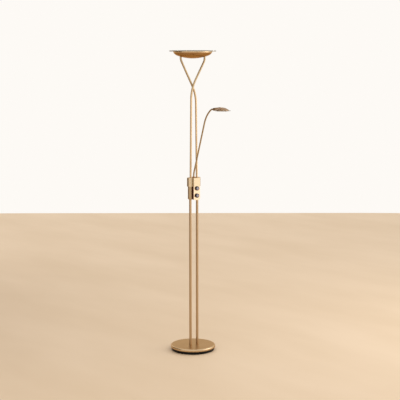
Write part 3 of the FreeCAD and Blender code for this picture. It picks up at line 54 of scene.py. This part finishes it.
class Shader:
    """A material's node tree, with short ways to add to it."""

    def __init__(self, name, tree=None):
        self.material = None
        if tree is None:
            self.material = bpy.data.materials.new(name)
            self.material.use_nodes = True
            tree = self.material.node_tree
        self.tree = tree
        tree.nodes.clear()

    def add(self, kind, inputs=(), **settings):
        """Add a node with these settings, and put values or links on its inputs."""
        node = self.tree.nodes.new(kind)
        for key, value in settings.items():
            setattr(node, key, value)
        for key, value in dict(inputs).items():
            self.put(node.inputs[key], value)
        return node

    def put(self, socket, value):
        """Link a socket to another one, or set it to a number or colour."""
        if isinstance(value, bpy.types.NodeSocket):
            self.tree.links.new(value, socket)
        else:
            socket.default_value = value

    def place(self):
        """The shaded point in the part's own frame, in metres."""
        return self.add("ShaderNodeTexCoord").outputs["Object"]

    def vector_math(self, operation, first, second):
        return self.add("ShaderNodeVectorMath", {0: first, 1: second}, operation=operation).outputs[0]

    def stretch(self, vector, scale):
        return self.vector_math("MULTIPLY", vector, scale)

    def coordinate(self, vector, axis):
        """One of a vector's three coordinates."""
        return self.add("ShaderNodeSeparateXYZ", {0: vector}).outputs[axis]

    def radius(self, vector):
        """Distance from the Z axis."""
        flat = self.stretch(vector, (1, 1, 0))
        return self.add("ShaderNodeVectorMath", {0: flat}, operation="LENGTH").outputs["Value"]

    def rings(self, vector, across, around):
        """Coordinates that make a noise run in rings round the Z axis."""
        flat = self.stretch(vector, (1, 1, 0))
        way = self.add("ShaderNodeVectorMath", {0: flat}, operation="NORMALIZE").outputs[0]
        turned = self.stretch(way, (around, around, 0))
        out = self.add("ShaderNodeCombineXYZ", {"Z": self.math("MULTIPLY", self.radius(vector), across)})
        return self.vector_math("ADD", turned, out.outputs[0])

    def noise(self, vector, scale, detail=3.0, rough=0.55):
        return self.add("ShaderNodeTexNoise", {"Vector": vector, "Scale": scale, "Detail": detail,
                                               "Roughness": rough}).outputs["Fac"]

    def math(self, operation, first, second=0.0):
        return self.add("ShaderNodeMath", {0: first, 1: second}, operation=operation).outputs[0]

    def total(self, first, *rest):
        """Add up pairs of a value and its weight."""
        value, weight = first
        part = self.math("MULTIPLY", value, weight)
        return self.math("ADD", part, self.total(*rest)) if rest else part

    def span(self, value, low, high, to_low=0.0, to_high=1.0):
        """Map a value from one range to another, held at its ends."""
        return self.add("ShaderNodeMapRange", {"Value": value, "From Min": low, "From Max": high,
                                               "To Min": to_low, "To Max": to_high}).outputs[0]

    def blend(self, share, first, second):
        """The first colour where the share is 0, the second where it is 1."""
        node = self.add("ShaderNodeMix", data_type="RGBA")
        self.put(node.inputs[0], share)
        self.put(node.inputs[6], first)
        self.put(node.inputs[7], second)
        return node.outputs[2]

    def bump(self, height, depth, before=None):
        """A bump of this depth in metres, on top of another one."""
        node = self.add("ShaderNodeBump", {"Height": height, "Distance": depth, "Strength": 1.0})
        if before is not None:
            self.put(node.inputs["Normal"], before)
        return node.outputs["Normal"]

    def finish(self, **inputs):
        """Close the material with a Principled shader that has these inputs."""
        names = {key.replace("_", " "): value for key, value in inputs.items()}
        surface = self.add("ShaderNodeBsdfPrincipled", names)
        out = self.add("ShaderNodeOutputMaterial")
        self.tree.links.new(surface.outputs[0], out.inputs["Surface"])
        return self.material


def colour(red, green, blue):
    return (red, green, blue, 1.0)


# Brushing marks per metre across the lines, per metre along lines that run up, and round a ring
FINE_ACROSS, FINE_UP, FINE_ROUND = 2600, 14, 3.5
BROAD_ACROSS, BROAD_UP, BROAD_ROUND = 260, 5, 1.2
FINE_DEPTH = 0.000012
BROAD_DEPTH = 0.00001
BRASS_CLOUD = 9.0
SMUDGES = 38.0
SMUDGE_ROUGHNESS = 0.06


def brass(name, lines, deep, light, centre=None, rough=0.30, edge=(1.0, 1.0, 1.0), change=None,
          polish=0.0):
    """Satin brass: fine brushing, a cloudy tone and a few smudges.

    lines is "up" for brushing along Z, or "round" for rings round the centre. edge tints what the
    metal mirrors at a low angle. change(shader, place) gives a share and a second tone, which the
    metal takes where the share is 1, and polish is how much less rough it is there.
    """
    s = Shader(name)
    spot = s.place()
    place = spot
    if centre is not None:
        place = s.vector_math("SUBTRACT", spot, centre)
    if lines == "round":
        fine_marks = s.rings(place, FINE_ACROSS, FINE_ROUND)
        broad_marks = s.rings(place, BROAD_ACROSS, BROAD_ROUND)
    else:
        fine_marks = s.stretch(place, (FINE_ACROSS, FINE_ACROSS, FINE_UP))
        broad_marks = s.stretch(place, (BROAD_ACROSS, BROAD_ACROSS, BROAD_UP))
    fine = s.noise(fine_marks, 1.0, 2.0, 0.6)
    broad = s.noise(broad_marks, 1.0, 2.0)
    cloud = s.noise(place, BRASS_CLOUD)
    smudge = s.span(s.noise(place, SMUDGES, 4.0, 0.65), 0.52, 0.72)
    tone = s.total((fine, 0.45), (broad, 0.25), (cloud, 0.3))
    base = s.blend(s.span(tone, 0.32, 0.68), deep, light)
    if change is not None:
        share, second = change(s, spot)
        base = s.blend(share, base, second)
    roughness = s.math("ADD", s.span(fine, 0.3, 0.7, rough - 0.04, rough + 0.05),
                       s.math("MULTIPLY", smudge, SMUDGE_ROUGHNESS))
    if polish:
        roughness = s.math("SUBTRACT", roughness, s.math("MULTIPLY", share, polish))
    normal = s.bump(fine, FINE_DEPTH, s.bump(broad, BROAD_DEPTH))
    return s.finish(Base_Color=base, Metallic=1.0, Roughness=roughness, Normal=normal,
                    Specular_Tint=colour(*edge))


PLASTIC_CLOUD = 22.0
DUST = colour(0.30, 0.28, 0.25)
DUST_SPECKS = 900.0
DUST_SHARE = 0.06
DUST_ROUGHNESS = 0.15


def moulded(name, dark, light, rough, grain, depth, shine=0.5):
    """Moulded plastic or rubber: a fine grain, a faint cloud and specks of dust."""
    s = Shader(name)
    place = s.place()
    skin = s.noise(place, grain, 3.0, 0.6)
    cloud = s.noise(place, PLASTIC_CLOUD)
    dust = s.span(s.noise(place, DUST_SPECKS, 2.0, 0.7), 0.66, 0.78)
    base = s.blend(s.span(cloud, 0.3, 0.7), dark, light)
    base = s.blend(s.math("MULTIPLY", dust, DUST_SHARE), base, DUST)
    roughness = s.math("ADD", s.span(skin, 0.3, 0.7, rough - 0.05, rough + 0.07),
                       s.math("MULTIPLY", dust, DUST_ROUGHNESS))
    return s.finish(Base_Color=base, Roughness=roughness, Normal=s.bump(skin, depth),
                    Specular_IOR_Level=shine)


METAL_CLOUD = 45.0


def machined(name, dark, light, rough, grain=420.0, metal=1.0, depth=0.00002):
    """Painted, plated, cast or sheet metal, and with metal at 0 the boards and their chips."""
    s = Shader(name)
    place = s.place()
    skin = s.noise(place, grain, 3.0, 0.6)
    cloud = s.noise(place, METAL_CLOUD)
    base = s.blend(s.span(s.total((skin, 0.5), (cloud, 0.5)), 0.35, 0.65), dark, light)
    return s.finish(Base_Color=base, Metallic=metal, Normal=s.bump(skin, depth),
                    Roughness=s.span(cloud, 0.3, 0.7, rough - 0.06, rough + 0.08))


# The ground rim begins and is full this far inside the glass's edge
RIM_BEGINS, RIM_FULL = 0.0022, 0.0008
FROST_GRAIN = 1500.0
FROST_DEPTH = 0.00001
GLASS_CLOUD = 14.0
GLASS_DARK = colour(0.84, 0.87, 0.84)
GLASS_LIGHT = colour(0.90, 0.92, 0.90)
GLASS_IOR = 1.5
FACE_TRANSMISSION = 0.45
RIM_LOSS = 0.3


def frosted(name, centre, edge_radius, rim_tone):
    """Frosted glass whose ground rim is denser and darker than its faces."""
    s = Shader(name)
    place = s.vector_math("SUBTRACT", s.place(), centre)
    rim = s.span(s.radius(place), edge_radius - RIM_BEGINS, edge_radius - RIM_FULL)
    grain = s.noise(place, FROST_GRAIN, 3.0, 0.7)
    cloud = s.noise(place, GLASS_CLOUD, 2.0)
    face = s.blend(s.span(cloud, 0.3, 0.7), GLASS_DARK, GLASS_LIGHT)
    base = s.blend(rim, face, rim_tone)
    return s.finish(Base_Color=base, Roughness=s.span(grain, 0.3, 0.7, 0.40, 0.55), IOR=GLASS_IOR,
                    Transmission_Weight=s.math("SUBTRACT", FACE_TRANSMISSION,
                                               s.math("MULTIPLY", rim, RIM_LOSS)),
                    Normal=s.bump(grain, FROST_DEPTH))


def along(axis, low, high, second):
    """A change of tone that grows along an axis, from low to high."""
    def change(s, spot):
        return s.span(s.coordinate(spot, axis), low, high), second
    return change


def beyond(low, high, second):
    """A change of tone that grows with the distance from the Z axis, from low to high."""
    def change(s, spot):
        return s.span(s.radius(spot), low, high), second
    return change


# The band's darker tone, a painted shade, begins and is full at these places in front of and beside the
# middle
BAND_FRONT = (-0.0250, -0.0285)
BAND_ENDS = (0.0415, 0.0440)
BAND_SHADE_TONE = colour(0.59, 0.475, 0.325)


def band_painted_shade(s, spot):
    """The darker tone of the band's square front and of its rounded ends: a painted shade against the
    band's lighter tone, which is a painted highlight on its rounded sides.
    """
    front = s.span(s.coordinate(spot, 1), *BAND_FRONT)
    ends = s.span(s.math("ABSOLUTE", s.coordinate(spot, 0)), *BAND_ENDS)
    return s.math("MAXIMUM", front, ends), BAND_SHADE_TONE


def dress(material, *names):
    """Give the nodes of these names this material."""
    for name in names:
        item = nodes[name]
        item.data.materials.clear()
        item.data.materials.append(material)


# Places on the lamp that its materials follow

head_low, head_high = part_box("head_shell")
head_centre = ((head_low.x + head_high.x) / 2, (head_low.y + head_high.y) / 2, 0)
head_glass_radius = (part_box("head_glass")[1].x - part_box("head_glass")[0].x) / 2
dish_glass_radius = (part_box("dish_glass")[1].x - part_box("dish_glass")[0].x) / 2
dish_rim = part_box("dish_bowl")[1].z
cover_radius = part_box("base_cover")[1].x
pin_low, pin_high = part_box("tilt_pin")
pin_y = (pin_low.y + pin_high.y) / 2

# Where each second tone begins and is full, each of them painted light: heights on the upper tubes for a
# painted shade under the dish, in from the base's edge for a painted highlight on its rim, down from the
# dish's rim for a painted highlight there, and in front of the head's pin for a painted highlight on the
# neck
TUBE_SHADE_UNDER_DISH = (1.50, 1.62)
BASE_RIM_HIGHLIGHT = (0.0085, 0.005)
DISH_RIM_HIGHLIGHT = (0.010, 0.004)
NECK_HIGHLIGHT = (0.012, 0.016)


# Brass

dress(brass("brass_pole", "up", colour(0.45, 0.31, 0.18), colour(0.56, 0.40, 0.245), rough=0.32),
      "lower_pole_left", "lower_pole_right")
# The upper tubes turn darker with height toward the dish: a painted shade under the dish.
dress(brass("brass_tube", "up", colour(0.60, 0.425, 0.24), colour(0.70, 0.51, 0.305), rough=0.32,
            change=along(2, *TUBE_SHADE_UNDER_DISH, colour(0.49, 0.365, 0.215))),
      "upper_tube_left", "upper_tube_right")
dress(brass("brass_arm", "up", colour(0.39, 0.29, 0.165), colour(0.48, 0.365, 0.215), rough=0.34),
      "reading_arm")
dress(brass("brass_sleeve", "up", colour(0.46, 0.33, 0.19), colour(0.56, 0.415, 0.25)),
      "switch_sleeve")
# The band's tone, lighter than the other brass, is a painted highlight on its rounded sides; its front
# and ends are darkened as painted shade.
dress(brass("brass_band", "up", colour(0.76, 0.58, 0.37), colour(0.87, 0.68, 0.46), rough=0.25,
            edge=(0.55, 0.42, 0.28), change=band_painted_shade),
      "switch_band")
dress(brass("brass_plate", "up", colour(0.67, 0.50, 0.345), colour(0.78, 0.60, 0.435)),
      "dimmer_front_plate")
# Toward its edge the base's cover turns lighter, a painted highlight on the rim; it is also less rough
# there, as polished brass.
dress(brass("brass_base", "round", colour(0.42, 0.28, 0.145), colour(0.52, 0.36, 0.20), rough=0.33,
            edge=(0.78, 0.62, 0.48), polish=0.10,
            change=beyond(cover_radius - BASE_RIM_HIGHLIGHT[0], cover_radius - BASE_RIM_HIGHLIGHT[1],
                          colour(0.62, 0.455, 0.28))),
      "base_cover")
# Just below its rim the dish turns lighter: a painted highlight.
dress(brass("brass_dish", "round", colour(0.335, 0.19, 0.08), colour(0.435, 0.255, 0.115), rough=0.25,
            edge=(0.8, 0.6, 0.4),
            change=along(2, dish_rim - DISH_RIM_HIGHLIGHT[0], dish_rim - DISH_RIM_HIGHLIGHT[1],
                         colour(0.76, 0.585, 0.38))),
      "dish_bowl")
dress(brass("brass_head", "round", colour(0.34, 0.215, 0.12), colour(0.42, 0.275, 0.16), head_centre,
            rough=0.36),
      "head_shell", "head_bezel")
# In front of the tilt pin the neck turns much lighter: a painted highlight.
dress(brass("brass_neck", "up", colour(0.43, 0.31, 0.20), colour(0.50, 0.37, 0.24), rough=0.34,
            change=along(1, pin_y - NECK_HIGHLIGHT[0], pin_y - NECK_HIGHLIGHT[1],
                         colour(0.93, 0.73, 0.52))),
      "head_neck")
dress(brass("brass_fitting", "up", colour(0.42, 0.27, 0.15), colour(0.52, 0.345, 0.20)),
      "arm_collar", "arm_socket", "tilt_pin")


# Glass

dress(frosted("frosted_dish_glass", (0, 0, 0), dish_glass_radius, colour(0.36, 0.33, 0.28)),
      "dish_glass")
dress(frosted("frosted_head_glass", head_centre, head_glass_radius, colour(0.36, 0.30, 0.23)),
      "head_glass")


# Plastic and rubber: a dark and a light tone, then roughness, grain per metre and its depth

dress(moulded("black_tray", colour(0.004, 0.0035, 0.003), colour(0.008, 0.007, 0.006), 0.45, 500.0,
              0.00001, shine=0.15),
      "base_tray")
dress(moulded("black_case", colour(0.050, 0.008, 0.001), colour(0.070, 0.014, 0.002), 0.45, 1100.0,
              0.00002, shine=0.2),
      "dimmer_case", "cable_gland")
dress(moulded("black_knob", colour(0.012, 0.011, 0.012), colour(0.022, 0.020, 0.021), 0.34, 1300.0,
              0.00001, shine=0.35),
      "upper_knob", "lower_knob")
# The caps' light bluish grey is partly their own grey and partly a painted highlight on the domed knobs.
dress(moulded("grey_cap", colour(0.27, 0.26, 0.33), colour(0.36, 0.345, 0.43), 0.28, 1300.0, 0.00001),
      "upper_knob_cap", "lower_knob_cap")
dress(moulded("foam", colour(0.02, 0.02, 0.02), colour(0.04, 0.04, 0.04), 0.85, 700.0, 0.0002),
      "floor_pad")
dress(moulded("rubber", colour(0.015, 0.015, 0.015), colour(0.03, 0.03, 0.03), 0.6, 800.0, 0.00003),
      "dish_gasket")
dress(moulded("sheath", colour(0.02, 0.02, 0.02), colour(0.035, 0.035, 0.035), 0.5, 800.0, 0.00002),
      "pole_cable", "dish_cable", "arm_cable")
dress(moulded("dark_plastic", colour(0.02, 0.02, 0.024), colour(0.04, 0.04, 0.045), 0.45, 900.0,
              0.00002),
      "rotary_dimmers")
dress(moulded("white_plastic", colour(0.72, 0.72, 0.69), colour(0.80, 0.80, 0.78), 0.4, 900.0, 0.00002),
      "led_driver", "pole_end_bushes")


# Other metal, boards and chips: a dark and a light tone, then roughness and grain per metre

dress(machined("dark_bronze", colour(0.27, 0.19, 0.12), colour(0.33, 0.235, 0.15), 0.36),
      "arm_knuckle")
dress(machined("raw_iron", colour(0.05, 0.05, 0.05), colour(0.10, 0.10, 0.10), 0.7, 300.0,
               depth=0.0002),
      "base_weight")
dress(machined("zinc_plate", colour(0.50, 0.51, 0.53), colour(0.62, 0.62, 0.60), 0.32),
      "base_screws", "pole_nipples", "nipple_nuts", "sleeve_screws", "clamp_screws", "dimmer_nuts",
      "upper_dimmer_shaft", "lower_dimmer_shaft", "arm_socket_nut", "arm_retaining_ring",
      "dish_nipples", "dish_spacers", "mounting_plate", "dish_pillars", "dish_board_screws",
      "head_screws")
dress(machined("zinc_casting", colour(0.42, 0.43, 0.45), colour(0.52, 0.53, 0.55), 0.5, 350.0,
               depth=0.00006),
      "junction_block")
dress(machined("aluminium", colour(0.68, 0.68, 0.69), colour(0.78, 0.78, 0.79), 0.38),
      "dish_heatsink", "head_heatsink")
dress(machined("green_board", colour(0.02, 0.09, 0.035), colour(0.03, 0.13, 0.05), 0.4, 600.0,
               metal=0.0),
      "dimmer_board")
dress(machined("white_board", colour(0.74, 0.74, 0.72), colour(0.82, 0.82, 0.80), 0.45, 600.0,
               metal=0.0),
      "dish_led_board", "head_led_board")
dress(machined("phosphor", colour(0.75, 0.56, 0.16), colour(0.85, 0.68, 0.25), 0.35, 1200.0,
               metal=0.0),
      "dish_leds", "head_leds")


# Floor and backdrop

BACKDROP = colour(0.985, 0.955, 0.915)
AMBIENT = colour(1.0, 0.96, 0.91)
AMBIENT_STRENGTH = 0.9
FLOOR_DARK = colour(0.79, 0.61, 0.42)
FLOOR_LIGHT = colour(0.86, 0.68, 0.49)
FLOOR_CLOUD = 1.6
FLOOR_GRAIN = 260.0
WALL_AWAY = 5.97
FLOOR_RADIUS = 6.42
FLOOR_SIDES = 90
SIDE = Vector((math.cos(CAMERA_AZIMUTH), math.sin(CAMERA_AZIMUTH), 0))
DEPTH = Vector((-math.sin(CAMERA_AZIMUTH), math.cos(CAMERA_AZIMUTH), 0))


def seen_share(shader):
    """1 for the rays that look at the backdrop or mirror it, 0 for those that light the lamp."""
    rays = shader.add("ShaderNodeLightPath").outputs
    return shader.math("MAXIMUM", shader.math("MAXIMUM", rays["Is Camera Ray"], rays["Is Glossy Ray"]),
                       rays["Is Transmission Ray"])


def sheet(name, corners):
    """A flat stage piece with these corners."""
    mesh = bpy.data.meshes.new(name)
    mesh.from_pydata([tuple(corner) for corner in corners], [], [tuple(range(len(corners)))])
    item = bpy.data.objects.new(name, mesh)
    scene.collection.objects.link(item)
    return item


# A round floor, cut straight behind the lamp, where the photograph's floor meets its wall
floor_turns = [2 * math.pi * i / FLOOR_SIDES for i in range(FLOOR_SIDES)]
floor = sheet("floor", [SIDE * (FLOOR_RADIUS * math.cos(turn))
                        + DEPTH * min(FLOOR_RADIUS * math.sin(turn), WALL_AWAY)
                        for turn in floor_turns])
floor_shader = Shader("floor")
floor_place = floor_shader.place()
floor_cloud = floor_shader.noise(floor_shader.stretch(floor_place, (1.0, 0.35, 1.0)), FLOOR_CLOUD)
floor_grain = floor_shader.noise(floor_place, FLOOR_GRAIN)
floor_tone = floor_shader.span(floor_shader.total((floor_cloud, 0.75), (floor_grain, 0.25)), 0.35, 0.65)
floor_shader.finish(Base_Color=floor_shader.blend(floor_tone, FLOOR_DARK, FLOOR_LIGHT), Roughness=0.7)
floor.data.materials.append(floor_shader.material)

world = bpy.data.worlds.new("world")
scene.world = world
world.use_nodes = True
world_shader = Shader("world", world.node_tree)
backdrop = world_shader.add("ShaderNodeBackground", {"Color": BACKDROP, "Strength": 1.0})
ambient = world_shader.add("ShaderNodeBackground", {"Color": AMBIENT, "Strength": AMBIENT_STRENGTH})
mix = world_shader.add("ShaderNodeMixShader", {0: seen_share(world_shader), 1: ambient.outputs[0],
                                               2: backdrop.outputs[0]})
world_shader.add("ShaderNodeOutputWorld", {"Surface": mix.outputs[0]})


# A dark card that the metal mirrors on its left, and two soft lights

def stage_place(across, away, up):
    """A place given to the right of, behind and above the lamp, as the camera sees it."""
    return SIDE * across + DEPTH * away + Vector((0, 0, up))


CARD_CENTRE = stage_place(-2.6, 0.5, 1.5)
CARD_WIDTH = 3.4
CARD_HEIGHT = 3.2
CARD_TONE = colour(0.26, 0.20, 0.14)
KEY_PLACE = (2.0, -2.6, 1.3)
KEY_TARGET = (0, 0, 0.95)
KEY_WIDTH = 2.2
KEY_POWER = 14.5
KEY_TONE = (1.0, 0.97, 0.92)
SIDE_PLACE = stage_place(3.2, 0.4, 1.7)
SIDE_TARGET = (0, 0, 1.1)
SIDE_WIDTH = 2.0
SIDE_POWER = 24
SIDE_TONE = (1.0, 0.97, 0.93)
LIGHT_HEIGHT = 3.0

card_across = DEPTH * (CARD_WIDTH / 2)
card_rise = Vector((0, 0, CARD_HEIGHT / 2))
card = sheet("left_card", [CARD_CENTRE - card_across - card_rise, CARD_CENTRE + card_across - card_rise,
                           CARD_CENTRE + card_across + card_rise, CARD_CENTRE - card_across + card_rise])
card.visible_camera = False
card.data.materials.append(Shader("left_card").finish(Base_Color=CARD_TONE, Roughness=0.8))


def area_light(name, place, target, width, power, tone):
    """A rectangular lamp, turned toward its target."""
    data = bpy.data.lights.new(name, "AREA")
    data.shape = "RECTANGLE"
    data.size = width
    data.size_y = LIGHT_HEIGHT
    data.energy = power
    data.color = tone
    item = bpy.data.objects.new(name, data)
    item.location = place
    item.rotation_euler = (Vector(target) - item.location).to_track_quat("-Z", "Y").to_euler()
    scene.collection.objects.link(item)


area_light("key_light", KEY_PLACE, KEY_TARGET, KEY_WIDTH, KEY_POWER, KEY_TONE)
area_light("side_light", SIDE_PLACE, SIDE_TARGET, SIDE_WIDTH, SIDE_POWER, SIDE_TONE)

scene.view_settings.view_transform = "Standard"
